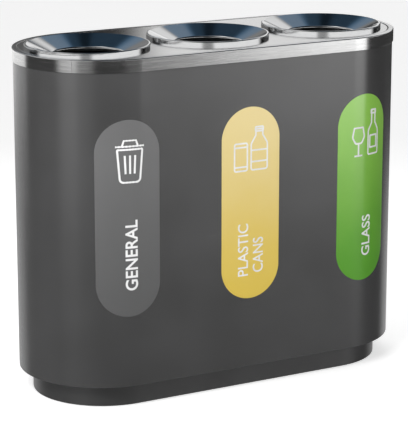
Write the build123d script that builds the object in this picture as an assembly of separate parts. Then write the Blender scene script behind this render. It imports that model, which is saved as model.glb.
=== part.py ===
from build123d import *
import math
import os

os.makedirs("parts", exist_ok=True)

# Three-stream litter bin. Millimetres, +Z up, +X along the body, front face towards -Y.
# The origin is on the ground under the middle of the body.

# ---- overall sizes ----
BODY_LENGTH = 940.0
BODY_WIDTH = 395.0
LID_HEIGHT = 794.0            # ground to the top of the lid's rim
PLINTH_HEIGHT = 55.0
PLINTH_INSET = 31.0

# ---- sheet thicknesses ----
SHELL_SHEET = 1.5
PLINTH_SHEET = 2.0
PAN_SHEET = 2.0
LID_SHEET = 1.2
LINER_SHEET = 1.0

# ---- lid ----
RIM_OVERHANG = 2.5            # rim beyond the shell, all round
RIM_DEPTH = 29.0
RIM_TOP_WIDTH = 12.0
RIM_LEG_DEPTH = 14.0
RIM_EDGE_RADIUS = 2.2
RIM_INNER_RADIUS = 0.96       # edge round the opening
DECK_EDGE_RADIUS = 1.8
DECK_RECESS = 0.5             # deck plate below the rim's top
GROOVE_WIDTH = 1.4            # between the rim and the deck plate
RIM_SEAM_GAP = 0.5
RIM_SEAM_ANGLE = 225.0        # butt joint of the rim band, about the left end arc's centre
LID_FRAME_SHEET = 2.0
LID_FRAME_WIDTH = 27.0
LID_FRAME_LAP = 2.5           # frame ring beyond the rim's inner leg
GUIDE_LENGTH = 40.0
GUIDE_WIDTH = 24.0
GUIDE_DEPTH = 20.0
GUIDE_CHAMFER = 4.0
GUIDE_CLEARANCE = 1.0
GUIDE_SCREW_INSET = 16.0      # screw's axis behind the block's outer face
GUIDE_SCREW_RADIUS = 2.5
GUIDE_SCREW_HEAD_HEIGHT = 2.5
GUIDE_SCREW_OVERLENGTH = 2.0  # above the frame ring
GUIDE_SCREW_CLEARANCE = 0.25

# ---- funnels ----
COLLAR_HEIGHT = 8.5           # lip above the rim's top
COLLAR_GAP = 25.0             # least gap between two collars
COLLAR_SIDE_MARGIN = 59.0     # least distance from collar to the lid's long edge
COLLAR_END_MARGIN = 22.0      # least distance from collar to the lid's end
LIP_WIDTH = 4.5
LIP_RADIUS = 2.0
THROAT_RADIUS = 84.0
THROAT_DROP = 15.0            # throat below the rim's top
THROAT_EDGE_RADIUS = 4.0
SPIGOT_DEPTH = 9.0
SPIGOT_FLARE = 2.5
DECK_HOLE_CLEARANCE = 1.0
CLAMP_RING_SHEET = 2.0
CLAMP_STUDS = 4
CLAMP_STUD_RADIUS = 2.5
CLAMP_STUD_LENGTH = 9.0       # below the clamp ring
STUD_WELD_GAP = 0.05          # stud's top below the cone
CLAMP_HOLE_CLEARANCE = 0.25
CLAMP_NUT_ACROSS_FLATS = 8.0
CLAMP_NUT_HEIGHT = 4.0
NUT_BORE_CLEARANCE = 0.05

# ---- shell ----
LID_REST_GAP = 0.3            # lid above the edge trim
TRIM_WALL = 0.8
TRIM_TOP = 1.5
TRIM_DEPTH = 9.0
SHELL_SEAM_GAP = 0.8
SEAM_STRIP_WIDTH = 40.0
SEAM_STRIP_MARGIN = 2.0       # strip's ends from the pan's edge and the stiffener
SEAM_RIVET_ROWS = 9
SEAM_RIVET_RADIUS = 2.0
SEAM_RIVET_HEAD_RADIUS = 4.0
SEAM_RIVET_HEAD_HEIGHT = 1.2
SEAM_RIVET_HEAD_ROUND = 0.96
SEAM_RIVET_TAIL_RADIUS = 3.0
SEAM_RIVET_TAIL_HEIGHT = 1.5
RIVET_HOLE_CLEARANCE = 0.1
STIFFENER_SHEET = 1.5
STIFFENER_WIDTH = 12.0
STIFFENER_DEPTH = 20.0
STIFFENER_DROP = 39.0         # top of the stiffener below the rim's top
PAN_EDGE_HEIGHT = 25.0

# ---- plinth, feet and anchors ----
PLINTH_FLANGE = 18.0
PLINTH_GROUND_GAP = 2.0
PLINTH_BOLT_RADIUS = 3.0
PLINTH_NUT_ACROSS_FLATS = 10.0
PLINTH_NUT_HEIGHT = 5.0
PLINTH_HEAD_HEIGHT = 4.0
PLINTH_BOLT_OVERLENGTH = 1.0  # above the nut
BOLT_HOLE_CLEARANCE = 0.3
FOOT_STUD_RADIUS = 4.0
FOOT_STUD_CLEARANCE = 0.1
FOOT_PAD_RADIUS = 17.0
FOOT_PAD_HEIGHT = 8.0
FOOT_PAD_ROUND = 2.5
FOOT_BOSS_RADIUS = 11.0
FOOT_BOSS_DEPTH = 18.0
FOOT_NUT_ACROSS_FLATS = 13.0
FOOT_NUT_HEIGHT = 5.0
FOOT_SIDE_MARGIN = 50.0       # foot's axis inside the plinth's long face
ANCHOR_HOLE_RADIUS = 5.25
ANCHOR_SLEEVE_WALL = 3.0
ANCHOR_SIDE_MARGIN = 56.5     # anchor's axis inside the plinth's long face

# ---- liners ----
LINER_GAP = 20.0              # least gap between two liners
LINER_END_GAP = 18.0          # liner to the shell's end
HANDLE_ROOM = 52.5            # least room for the handles, liner to the shell's long side
LINER_FLOOR_GAP = 0.3
LINER_TOP_DROP = 54.0         # liner's top below the rim's top
LINER_BASE_RISE = 8.0
LINER_HEM_DEPTH = 6.0
LOCATOR_CLEARANCE = 2.0
LOCATOR_SHEET = 1.5
LOCATOR_HEIGHT = 15.0
BAG_RING_SHEET = 1.2
BAG_RING_DEPTH = 13.0
BAG_RING_CLEARANCE = 0.6
BAG_RING_REACH = 6.5          # inside the liner's wall

# ---- liner handles ----
HANDLE_WIRE_RADIUS = 3.0
HANDLE_WIDTH = 84.0           # between the centres of the two legs
HANDLE_BEND = 20.0
HANDLE_PIVOT_BEND = 4.5
HANDLE_STAND_OFF = 5.0        # pivot axis out from the liner's wall
HANDLE_SHELL_CLEARANCE = 5.0  # between the shell and a handle swung out
HANDLE_DROP = 50.0            # pivot axis below the liner's top
HANDLE_STUB = 15.0
PIVOT_CLEARANCE = 0.06
EYE_WIDTH = 8.0
EYE_RADIUS = 6.0
EYE_GAP = 3.0                 # handle leg's centre line to the eye, beyond the bend
BRACKET_SHEET = 1.5
BRACKET_WIDTH = 20.0
BRACKET_HEIGHT = 34.0
BRACKET_GAP = 0.05            # foot off the pail's wall
BRACKET_RIVET_RADIUS = 1.8
BRACKET_RIVET_HEAD_RADIUS = 3.2
BRACKET_RIVET_HEAD_HEIGHT = 1.0
BRACKET_RIVET_PITCH = 22.0
BRACKET_RIVET_CAP_GAP = 0.1   # head off the pail's wall
BRACKET_RIVET_OUTER_GAP = 0.2 # head off the curved foot

# ---- labels ----
LABEL_WIDTH = 150.0
LABEL_HEIGHT = 444.0
LABEL_CENTRE_DROP = 354.0     # label's centre below the rim's top
LABEL_SHEET = 0.3
LABEL_GLUE = 0.05
LABEL_CAP_STEPS = 24

# ---- places worked out from the sizes above ----
LID_LENGTH = BODY_LENGTH + 2 * RIM_OVERHANG
LID_WIDTH = BODY_WIDTH + 2 * RIM_OVERHANG
INNER_LENGTH = BODY_LENGTH - 2 * SHELL_SHEET
INNER_WIDTH = BODY_WIDTH - 2 * SHELL_SHEET
PLINTH_LENGTH = BODY_LENGTH - 2 * PLINTH_INSET
PLINTH_WIDTH = BODY_WIDTH - 2 * PLINTH_INSET

LINER_BY_LENGTH = (INNER_LENGTH - 2 * LINER_GAP - 2 * LINER_END_GAP) / 3
LINER_BY_WIDTH = INNER_WIDTH - 2 * HANDLE_ROOM
LINER_RADIUS = min(LINER_BY_LENGTH, LINER_BY_WIDTH) / 2
STREAM_PITCH = INNER_LENGTH / 2 - LINER_END_GAP - LINER_RADIUS
STREAMS = {"left": -STREAM_PITCH, "centre": 0.0, "right": STREAM_PITCH}
BETWEEN_LINERS = (-STREAM_PITCH / 2, STREAM_PITCH / 2)

COLLAR_RADIUS = min(
    (STREAM_PITCH - COLLAR_GAP) / 2,
    LID_WIDTH / 2 - COLLAR_SIDE_MARGIN,
    LID_LENGTH / 2 - STREAM_PITCH - COLLAR_END_MARGIN,
)
DECK_TOP = LID_HEIGHT - DECK_RECESS
DECK_UNDER = DECK_TOP - LID_SHEET
LIP_TOP = LID_HEIGHT + COLLAR_HEIGHT
THROAT_TOP = LID_HEIGHT - THROAT_DROP
RIM_BOTTOM = LID_HEIGHT - RIM_DEPTH
RIM_LEG_BOTTOM = LID_HEIGHT - RIM_LEG_DEPTH
RIM_OPENING_LENGTH = LID_LENGTH - 2 * RIM_TOP_WIDTH
RIM_OPENING_WIDTH = LID_WIDTH - 2 * RIM_TOP_WIDTH
DECK_LENGTH = RIM_OPENING_LENGTH - 2 * GROOVE_WIDTH
DECK_WIDTH = RIM_OPENING_WIDTH - 2 * GROOVE_WIDTH

# Middle line of the funnel's sheet: lip's inner corner and throat corner.
LIP_CORNER = (COLLAR_RADIUS - LIP_WIDTH, LIP_TOP - LID_SHEET / 2)
THROAT_CORNER = (THROAT_RADIUS + LID_SHEET / 2, THROAT_TOP - LID_SHEET / 2)
CONE_SLOPE = (LIP_CORNER[1] - THROAT_CORNER[1]) / (LIP_CORNER[0] - THROAT_CORNER[0])
CONE_HALF_SHEET = LID_SHEET / 2 * math.hypot(1.0, CONE_SLOPE)
CONE_AT_DECK = LIP_CORNER[0] - (LIP_CORNER[1] - CONE_HALF_SHEET - DECK_TOP) / CONE_SLOPE
DECK_HOLE_RADIUS = CONE_AT_DECK + DECK_HOLE_CLEARANCE
CLAMP_CIRCLE = (DECK_HOLE_RADIUS + COLLAR_RADIUS) / 2

TRIM_TOP_Z = LID_HEIGHT - LID_SHEET - LID_REST_GAP
SHELL_TOP = TRIM_TOP_Z - TRIM_TOP
STIFFENER_TOP = LID_HEIGHT - STIFFENER_DROP
STIFFENER_BOTTOM = STIFFENER_TOP - STIFFENER_DEPTH
PAN_TOP = PLINTH_HEIGHT + PAN_SHEET
PAN_EDGE_TOP = PLINTH_HEIGHT + PAN_EDGE_HEIGHT
LINER_BOTTOM = PAN_TOP + LINER_FLOOR_GAP
LINER_TOP = LID_HEIGHT - LINER_TOP_DROP
HANDLE_PIVOT_Z = LINER_TOP - HANDLE_DROP
HANDLE_PIVOT_Y = LINER_RADIUS + HANDLE_STAND_OFF

# A handle swung out passes the shell's round end: its outer bend decides its reach.
HANDLE_SWING_ROOM = INNER_WIDTH / 2 - HANDLE_SHELL_CLEARANCE - HANDLE_WIRE_RADIUS - HANDLE_BEND
BODY_STRAIGHT = (BODY_LENGTH - BODY_WIDTH) / 2
HANDLE_BEND_X = STREAM_PITCH + HANDLE_WIDTH / 2 - HANDLE_BEND - BODY_STRAIGHT
HANDLE_BEND_Y = math.sqrt(HANDLE_SWING_ROOM ** 2 - HANDLE_BEND_X ** 2)
HANDLE_REACH = HANDLE_BEND_Y + HANDLE_BEND - HANDLE_PIVOT_Y
ANCHOR_SPACING_Y = PLINTH_WIDTH - 2 * ANCHOR_SIDE_MARGIN


def slab(length, width, bottom, top):
    """A flat-sided, round-ended plate."""
    return extrude(Pos(0, 0, bottom) * SlotOverall(length, width), amount=top - bottom)


def band(length, width, wall, bottom, top):
    """A round-ended ring with upright walls, measured outside."""
    return slab(length, width, bottom, top) - slab(length - 2 * wall, width - 2 * wall, bottom, top)


def rod(x, y, radius, bottom, top):
    return extrude(Pos(x, y, bottom) * Circle(radius), amount=top - bottom)


def hexagon(x, y, across_flats, bottom, top):
    outline = RegularPolygon(across_flats / 2, 6, major_radius=False)
    return extrude(Pos(x, y, bottom) * outline, amount=top - bottom)


def spun(section, x=0.0):
    """Revolves a section drawn as (radius, height) about an upright axis at x."""
    return Pos(x, 0, 0) * revolve(Plane.XZ * section, Axis.Z)


def top_edges(solid, height):
    return [edge for edge in solid.edges() if abs(edge.center().Z - height) < 1e-4]


def write(name, *solids):
    shape = solids[0] if len(solids) == 1 else Compound(children=list(solids))
    export_step(shape, f"parts/{name}.step")


def one(shape):
    """The single solid of a finished shape."""
    return shape.solids()[0]


# ---------------------------------------------------------------- base

def plinth():
    wall = band(PLINTH_LENGTH, PLINTH_WIDTH, PLINTH_SHEET, PLINTH_GROUND_GAP, PLINTH_HEIGHT)
    flange_bottom = PLINTH_HEIGHT - PLINTH_SHEET
    flange = band(PLINTH_LENGTH, PLINTH_WIDTH, PLINTH_FLANGE, flange_bottom, PLINTH_HEIGHT)
    ring = wall + flange
    for x, y in plinth_bolt_places():
        hole_radius = PLINTH_BOLT_RADIUS + BOLT_HOLE_CLEARANCE
        ring -= rod(x, y, hole_radius, flange_bottom, PLINTH_HEIGHT)
    return one(ring)


def plinth_bolt_places():
    straight = (BODY_LENGTH - BODY_WIDTH) / 2
    y = PLINTH_WIDTH / 2 - (PLINTH_SHEET + PLINTH_FLANGE) / 2
    return [(x, side * y) for side in (-1, 1) for x in (-straight, *BETWEEN_LINERS, straight)]


def foot_places():
    x = (PLINTH_LENGTH - PLINTH_WIDTH) / 2 + FOOT_SIDE_MARGIN
    y = PLINTH_WIDTH / 2 - FOOT_SIDE_MARGIN
    return [(sx * x, sy * y) for sx in (-1, 1) for sy in (-1, 1)]


def anchor_places():
    return [(x, side * ANCHOR_SPACING_Y / 2) for x in BETWEEN_LINERS for side in (-1, 1)]


def floor_pan():
    pan = slab(INNER_LENGTH, INNER_WIDTH, PLINTH_HEIGHT, PAN_TOP)
    pan += band(INNER_LENGTH, INNER_WIDTH, SHELL_SHEET, PLINTH_HEIGHT, PAN_EDGE_TOP)
    for x, y in plinth_bolt_places():
        pan -= rod(x, y, PLINTH_BOLT_RADIUS + BOLT_HOLE_CLEARANCE, PLINTH_HEIGHT, PAN_TOP)
    for x, y in anchor_places():
        pan -= rod(x, y, ANCHOR_HOLE_RADIUS, PLINTH_HEIGHT, PAN_TOP)
    return one(pan)


def plinth_bolt(x, y):
    under = PLINTH_HEIGHT - PLINTH_SHEET
    shank_top = PAN_TOP + PLINTH_NUT_HEIGHT + PLINTH_BOLT_OVERLENGTH
    head = hexagon(x, y, PLINTH_NUT_ACROSS_FLATS, under - PLINTH_HEAD_HEIGHT, under)
    return one(head + rod(x, y, PLINTH_BOLT_RADIUS, under, shank_top))


def plinth_nut(x, y):
    nut = hexagon(x, y, PLINTH_NUT_ACROSS_FLATS, PAN_TOP, PAN_TOP + PLINTH_NUT_HEIGHT)
    bore = rod(x, y, PLINTH_BOLT_RADIUS + NUT_BORE_CLEARANCE, PAN_TOP, PAN_TOP + PLINTH_NUT_HEIGHT)
    return one(nut - bore)


def anchor_sleeve(x, y):
    outside = rod(x, y, ANCHOR_HOLE_RADIUS + ANCHOR_SLEEVE_WALL, PLINTH_GROUND_GAP, PLINTH_HEIGHT)
    return one(outside - rod(x, y, ANCHOR_HOLE_RADIUS, PLINTH_GROUND_GAP, PLINTH_HEIGHT))


def foot_pad(x, y):
    pad = rod(x, y, FOOT_PAD_RADIUS, 0.0, FOOT_PAD_HEIGHT)
    pad = fillet(top_edges(pad, FOOT_PAD_HEIGHT), FOOT_PAD_ROUND)
    socket = rod(x, y, FOOT_STUD_RADIUS + FOOT_STUD_CLEARANCE, FOOT_PAD_HEIGHT / 2, FOOT_PAD_HEIGHT)
    return one(pad - socket)


def foot_stud(x, y):
    return one(rod(x, y, FOOT_STUD_RADIUS, FOOT_PAD_HEIGHT / 2, PLINTH_HEIGHT - PAN_SHEET))


def foot_boss(x, y):
    bottom = PLINTH_HEIGHT - FOOT_BOSS_DEPTH
    boss = rod(x, y, FOOT_BOSS_RADIUS, bottom, PLINTH_HEIGHT)
    return one(boss - rod(x, y, FOOT_STUD_RADIUS + FOOT_STUD_CLEARANCE, bottom, PLINTH_HEIGHT))


def foot_nut(x, y):
    top = PLINTH_HEIGHT - FOOT_BOSS_DEPTH
    bottom = top - FOOT_NUT_HEIGHT
    nut = hexagon(x, y, FOOT_NUT_ACROSS_FLATS, bottom, top)
    return one(nut - rod(x, y, FOOT_STUD_RADIUS + FOOT_STUD_CLEARANCE, bottom, top))


def locating_ring(x):
    inside = LINER_RADIUS + LOCATOR_CLEARANCE
    top = PAN_TOP + LOCATOR_HEIGHT
    ring = rod(x, 0, inside + LOCATOR_SHEET, PAN_TOP, top)
    return one(ring - rod(x, 0, inside, PAN_TOP, top))


# ---------------------------------------------------------------- shell

def shell_seam_x():
    return STREAM_PITCH / 2


def outer_shell():
    shell = band(BODY_LENGTH, BODY_WIDTH, SHELL_SHEET, PLINTH_HEIGHT, SHELL_TOP)
    middle = (PLINTH_HEIGHT + SHELL_TOP) / 2
    height = SHELL_TOP - PLINTH_HEIGHT
    slot = Box(SHELL_SEAM_GAP, 4 * SHELL_SHEET, height)
    shell -= Pos(shell_seam_x(), BODY_WIDTH / 2, middle) * slot
    for x, z in seam_rivet_places():
        shell -= seam_rivet_hole(x, z)
    return one(shell)


def seam_strip_ends():
    return PAN_EDGE_TOP + SEAM_STRIP_MARGIN, STIFFENER_BOTTOM - SEAM_STRIP_MARGIN


def seam_strip():
    bottom, top = seam_strip_ends()
    strip = Box(SEAM_STRIP_WIDTH, SHELL_SHEET, top - bottom)
    y = INNER_WIDTH / 2 - SHELL_SHEET / 2
    strip = Pos(shell_seam_x(), y, (bottom + top) / 2) * strip
    for x, z in seam_rivet_places():
        strip -= seam_rivet_hole(x, z)
    return one(strip)


def seam_rivet_places():
    bottom, top = seam_strip_ends()
    pitch = (top - bottom) / SEAM_RIVET_ROWS
    heights = [bottom + (row + 0.5) * pitch for row in range(SEAM_RIVET_ROWS)]
    return [(shell_seam_x() + side * SEAM_STRIP_WIDTH / 4, z) for side in (-1, 1) for z in heights]


def seam_rivet_hole(x, z):
    radius = SEAM_RIVET_RADIUS + RIVET_HOLE_CLEARANCE
    hole = Cylinder(radius, 6 * SHELL_SHEET, rotation=(90, 0, 0))
    return Pos(x, BODY_WIDTH / 2, z) * hole


def seam_rivet(x, z):
    """Blind rivet: a low dome outside the shell, a collar inside the strip."""
    face = BODY_WIDTH / 2
    inside = INNER_WIDTH / 2 - SHELL_SHEET
    tail = inside - SEAM_RIVET_TAIL_HEIGHT
    head_top = face + SEAM_RIVET_HEAD_HEIGHT
    head = rod(0, 0, SEAM_RIVET_HEAD_RADIUS, face, head_top)
    head = fillet(top_edges(head, head_top), SEAM_RIVET_HEAD_ROUND)
    shank = rod(0, 0, SEAM_RIVET_RADIUS, inside, face)
    rivet = head + shank + rod(0, 0, SEAM_RIVET_TAIL_RADIUS, tail, inside)
    return one(Pos(x, 0, z) * Rot(-90, 0, 0) * rivet)


def edge_trim():
    """Rubber channel pushed over the shell's top edge."""
    outside = 2 * TRIM_WALL
    length = BODY_LENGTH + outside
    width = BODY_WIDTH + outside
    bottom = TRIM_TOP_Z - TRIM_DEPTH
    channel = band(length, width, SHELL_SHEET + 2 * TRIM_WALL, bottom, TRIM_TOP_Z)
    channel -= band(BODY_LENGTH, BODY_WIDTH, SHELL_SHEET, bottom, SHELL_TOP)
    return one(channel)


def stiffener():
    """Angle ring inside the shell's mouth."""
    upright = band(INNER_LENGTH, INNER_WIDTH, STIFFENER_SHEET, STIFFENER_BOTTOM, STIFFENER_TOP)
    shelf_bottom = STIFFENER_TOP - STIFFENER_SHEET
    shelf = band(INNER_LENGTH, INNER_WIDTH, STIFFENER_WIDTH, shelf_bottom, STIFFENER_TOP)
    return one(upright + shelf)


# ---------------------------------------------------------------- labels

def front_point(distance, offset):
    """Point on the body's outline at a distance along it from the front's middle."""
    radius = BODY_WIDTH / 2
    straight = BODY_LENGTH / 2 - radius
    beyond = abs(distance) - straight
    if beyond <= 0:
        return distance, -(radius + offset)
    turn = beyond / radius
    x = straight + (radius + offset) * math.sin(turn)
    return math.copysign(x, distance), -(radius + offset) * math.cos(turn)


def label_cap(centre, height, sign):
    """Points of a half-round cap, laid along the body's outline."""
    radius = LABEL_WIDTH / 2
    points = []
    for step in range(LABEL_CAP_STEPS + 1):
        angle = math.pi * step / LABEL_CAP_STEPS
        x, _ = front_point(centre - radius * math.cos(angle), 0.0)
        points.append((x, height + sign * radius * math.sin(angle)))
    return points


def label(centre):
    """Film with round ends, wrapped on the front of the shell."""
    middle = LID_HEIGHT - LABEL_CENTRE_DROP
    half_straight = LABEL_HEIGHT / 2 - LABEL_WIDTH / 2
    upper = label_cap(centre, middle + half_straight, 1)
    lower = label_cap(centre, middle - half_straight, -1)
    outline = Spline(*upper) + Line(upper[-1], lower[-1]) + Spline(*reversed(lower))
    outline += Line(lower[0], upper[0])
    face = Plane.XZ * make_face(outline)
    cutter = extrude(face, amount=BODY_WIDTH)
    film = LABEL_GLUE + LABEL_SHEET
    skin = band(BODY_LENGTH + 2 * film, BODY_WIDTH + 2 * film, LABEL_SHEET, PAN_TOP, RIM_BOTTOM)
    return one(skin & cutter)


# ---------------------------------------------------------------- lid

def lid_rim():
    """Channel that drops over the shell's top edge: deep skirt outside, short leg inside."""
    rim = slab(LID_LENGTH, LID_WIDTH, RIM_BOTTOM, LID_HEIGHT)
    rim = fillet(top_edges(rim, LID_HEIGHT), RIM_EDGE_RADIUS)
    inner_length = LID_LENGTH - 2 * LID_SHEET
    inner_width = LID_WIDTH - 2 * LID_SHEET
    hollow = slab(inner_length, inner_width, RIM_BOTTOM, LID_HEIGHT - LID_SHEET)
    hollow = fillet(top_edges(hollow, LID_HEIGHT - LID_SHEET), RIM_EDGE_RADIUS - LID_SHEET)
    leg_length = RIM_OPENING_LENGTH + 2 * LID_SHEET
    leg_width = RIM_OPENING_WIDTH + 2 * LID_SHEET
    leg_block = slab(leg_length, leg_width, RIM_LEG_BOTTOM, LID_HEIGHT)
    opening = slab(RIM_OPENING_LENGTH, RIM_OPENING_WIDTH, RIM_LEG_BOTTOM, LID_HEIGHT)
    rim = rim - hollow + leg_block - opening
    top = top_edges(rim, LID_HEIGHT)
    inner_edge = [edge for edge in top if on_outline(edge, RIM_OPENING_WIDTH)]
    rim = fillet(inner_edge, RIM_INNER_RADIUS)
    return one(rim - rim_seam())


def on_outline(edge, width):
    """True for an edge of the round-ended outline of this width."""
    point = edge @ 0.5
    straight = (LID_LENGTH - LID_WIDTH) / 2
    beyond = max(0.0, abs(point.X) - straight)
    return abs(math.hypot(beyond, point.Y) - width / 2) < 0.1


def rim_seam():
    straight = (LID_LENGTH - LID_WIDTH) / 2
    turn = math.radians(RIM_SEAM_ANGLE)
    radius = LID_WIDTH / 2 - RIM_TOP_WIDTH / 2
    x = -straight + radius * math.cos(turn)
    y = radius * math.sin(turn)
    cut = Box(3 * RIM_TOP_WIDTH, RIM_SEAM_GAP, 2 * RIM_DEPTH)
    return Pos(x, y, LID_HEIGHT - RIM_DEPTH / 2) * Rot(0, 0, RIM_SEAM_ANGLE) * cut


def lid_deck():
    """Plate with its edge turned down, inside the rim."""
    deck = slab(DECK_LENGTH, DECK_WIDTH, RIM_LEG_BOTTOM, DECK_TOP)
    deck = fillet(top_edges(deck, DECK_TOP), DECK_EDGE_RADIUS)
    hollow_length = DECK_LENGTH - 2 * LID_SHEET
    hollow_width = DECK_WIDTH - 2 * LID_SHEET
    hollow = slab(hollow_length, hollow_width, RIM_LEG_BOTTOM, DECK_UNDER)
    hollow = fillet(top_edges(hollow, DECK_UNDER), DECK_EDGE_RADIUS - LID_SHEET)
    deck -= hollow
    for x in STREAMS.values():
        deck -= rod(x, 0, DECK_HOLE_RADIUS, DECK_UNDER, DECK_TOP)
        for stud_x, stud_y in clamp_places(x):
            hole_radius = CLAMP_STUD_RADIUS + CLAMP_HOLE_CLEARANCE
            deck -= rod(stud_x, stud_y, hole_radius, DECK_UNDER, DECK_TOP)
    return one(deck)


def lid_frame():
    """Flat ring that joins the rim's leg to the deck's edge, and carries the guides."""
    length = RIM_OPENING_LENGTH + 2 * LID_FRAME_LAP
    width = RIM_OPENING_WIDTH + 2 * LID_FRAME_LAP
    bottom = RIM_LEG_BOTTOM - LID_FRAME_SHEET
    frame = band(length, width, LID_FRAME_WIDTH, bottom, RIM_LEG_BOTTOM)
    for x, y in guide_screw_places():
        frame -= rod(x, y, guide_screw_hole(), bottom, RIM_LEG_BOTTOM)
    return one(frame)


def guide_screw_hole():
    return GUIDE_SCREW_RADIUS + GUIDE_SCREW_CLEARANCE


def guide_places():
    y = INNER_WIDTH / 2 - GUIDE_CLEARANCE - GUIDE_WIDTH / 2
    return [(x, side * y) for x in BETWEEN_LINERS for side in (-1, 1)]


def guide_screw_places():
    y = INNER_WIDTH / 2 - GUIDE_CLEARANCE - GUIDE_SCREW_INSET
    return [(x, side * y) for x in BETWEEN_LINERS for side in (-1, 1)]


def lid_guide(x, y):
    """Nylon block that centres the lid inside the shell."""
    top = RIM_LEG_BOTTOM - LID_FRAME_SHEET
    bottom = top - GUIDE_DEPTH
    block = Pos(x, y, (top + bottom) / 2) * Box(GUIDE_LENGTH, GUIDE_WIDTH, GUIDE_DEPTH)
    lower = [edge for edge in block.edges() if abs(edge.center().Z - bottom) < 1e-4]
    block = chamfer(lower, GUIDE_CHAMFER)
    for screw_x, screw_y in guide_screw_places():
        block -= rod(screw_x, screw_y, guide_screw_hole(), bottom, top)
    return one(block)


def guide_screw(x, y):
    """Pan head below the block, shank up through the frame ring."""
    bottom = RIM_LEG_BOTTOM - LID_FRAME_SHEET - GUIDE_DEPTH
    shank = rod(x, y, GUIDE_SCREW_RADIUS, bottom, RIM_LEG_BOTTOM + GUIDE_SCREW_OVERLENGTH)
    head = rod(x, y, 2 * GUIDE_SCREW_RADIUS, bottom - GUIDE_SCREW_HEAD_HEIGHT, bottom)
    return one(head + shank)


def funnel(x):
    """Spun collar, cone and spigot of one opening."""
    wall = COLLAR_RADIUS - LID_SHEET / 2
    spigot = THROAT_CORNER[0]
    bottom = THROAT_CORNER[1] - SPIGOT_DEPTH
    middle_line = FilletPolyline(
        (wall, DECK_TOP),
        (wall, LIP_CORNER[1]),
        LIP_CORNER,
        THROAT_CORNER,
        (spigot, bottom),
        (spigot + SPIGOT_FLARE, bottom),
        radius=(LIP_RADIUS, LIP_RADIUS, THROAT_EDGE_RADIUS, LID_SHEET),
    )
    return one(spun(trace(middle_line, LID_SHEET), x))


def clamp_places(x):
    turns = [math.tau * (step + 0.5) / CLAMP_STUDS for step in range(CLAMP_STUDS)]
    return [(x + CLAMP_CIRCLE * math.cos(t), CLAMP_CIRCLE * math.sin(t)) for t in turns]


def clamp_ring(x):
    bottom = DECK_UNDER - CLAMP_RING_SHEET
    ring = rod(x, 0, COLLAR_RADIUS, bottom, DECK_UNDER)
    ring -= rod(x, 0, DECK_HOLE_RADIUS, bottom, DECK_UNDER)
    for stud_x, stud_y in clamp_places(x):
        hole_radius = CLAMP_STUD_RADIUS + CLAMP_HOLE_CLEARANCE
        ring -= rod(stud_x, stud_y, hole_radius, bottom, DECK_UNDER)
    return one(ring)


def clamp_stud(x, y):
    """Stud welded under the funnel's cone."""
    inner_edge = CLAMP_CIRCLE - CLAMP_STUD_RADIUS
    cone_under = LIP_CORNER[1] - (LIP_CORNER[0] - inner_edge) * CONE_SLOPE - CONE_HALF_SHEET
    bottom = DECK_UNDER - CLAMP_RING_SHEET - CLAMP_STUD_LENGTH
    return one(rod(x, y, CLAMP_STUD_RADIUS, bottom, cone_under - STUD_WELD_GAP))


def clamp_nut(x, y):
    top = DECK_UNDER - CLAMP_RING_SHEET
    bottom = top - CLAMP_NUT_HEIGHT
    nut = hexagon(x, y, CLAMP_NUT_ACROSS_FLATS, bottom, top)
    return one(nut - rod(x, y, CLAMP_STUD_RADIUS + NUT_BORE_CLEARANCE, bottom, top))


# ---------------------------------------------------------------- liners

def liner(x):
    """Round sheet pail with a raised base and a folded hem."""
    inside = LINER_RADIUS - LINER_SHEET
    outline = Polyline(
        (0, LINER_BOTTOM + LINER_BASE_RISE),
        (inside, LINER_BOTTOM + LINER_BASE_RISE),
        (inside, LINER_BOTTOM),
        (LINER_RADIUS, LINER_BOTTOM),
        (LINER_RADIUS, LINER_TOP - LINER_HEM_DEPTH),
        (LINER_RADIUS + LINER_SHEET, LINER_TOP - LINER_HEM_DEPTH),
        (LINER_RADIUS + LINER_SHEET, LINER_TOP),
        (inside, LINER_TOP),
        (inside, LINER_BOTTOM + LINER_BASE_RISE + LINER_SHEET),
        (0, LINER_BOTTOM + LINER_BASE_RISE + LINER_SHEET),
        close=True,
    )
    pail = spun(make_face(outline), x)
    for places in bracket_rivet_places(x):
        pail -= bracket_rivet_hole(*places)
    return one(pail)


def bag_ring(x):
    """Loose ring over the liner's hem that traps the bag."""
    leg_inside = LINER_RADIUS + LINER_SHEET + BAG_RING_CLEARANCE
    leg_outside = leg_inside + BAG_RING_SHEET
    top = LINER_TOP + BAG_RING_SHEET
    inside = LINER_RADIUS - BAG_RING_REACH
    outline = Polyline(
        (inside, LINER_TOP),
        (leg_inside, LINER_TOP),
        (leg_inside, top - BAG_RING_DEPTH),
        (leg_outside, top - BAG_RING_DEPTH),
        (leg_outside, top),
        (inside, top),
        close=True,
    )
    return one(spun(make_face(outline), x))


def handle(x, side):
    """Bent wire handle, hanging from two eyes on one side of a liner."""
    leg = HANDLE_WIDTH / 2
    low = HANDLE_PIVOT_Z - HANDLE_REACH
    y = side * HANDLE_PIVOT_Y
    path = FilletPolyline(
        (x - leg - HANDLE_STUB, y, HANDLE_PIVOT_Z),
        (x - leg, y, HANDLE_PIVOT_Z),
        (x - leg, y, low),
        (x + leg, y, low),
        (x + leg, y, HANDLE_PIVOT_Z),
        (x + leg + HANDLE_STUB, y, HANDLE_PIVOT_Z),
        radius=(HANDLE_PIVOT_BEND, HANDLE_BEND, HANDLE_BEND, HANDLE_PIVOT_BEND),
    )
    section = Plane(origin=path @ 0, z_dir=path % 0) * Circle(HANDLE_WIRE_RADIUS)
    return one(sweep(section, path))


def eye_centre():
    return HANDLE_WIDTH / 2 + HANDLE_PIVOT_BEND + EYE_GAP + EYE_WIDTH / 2


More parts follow.
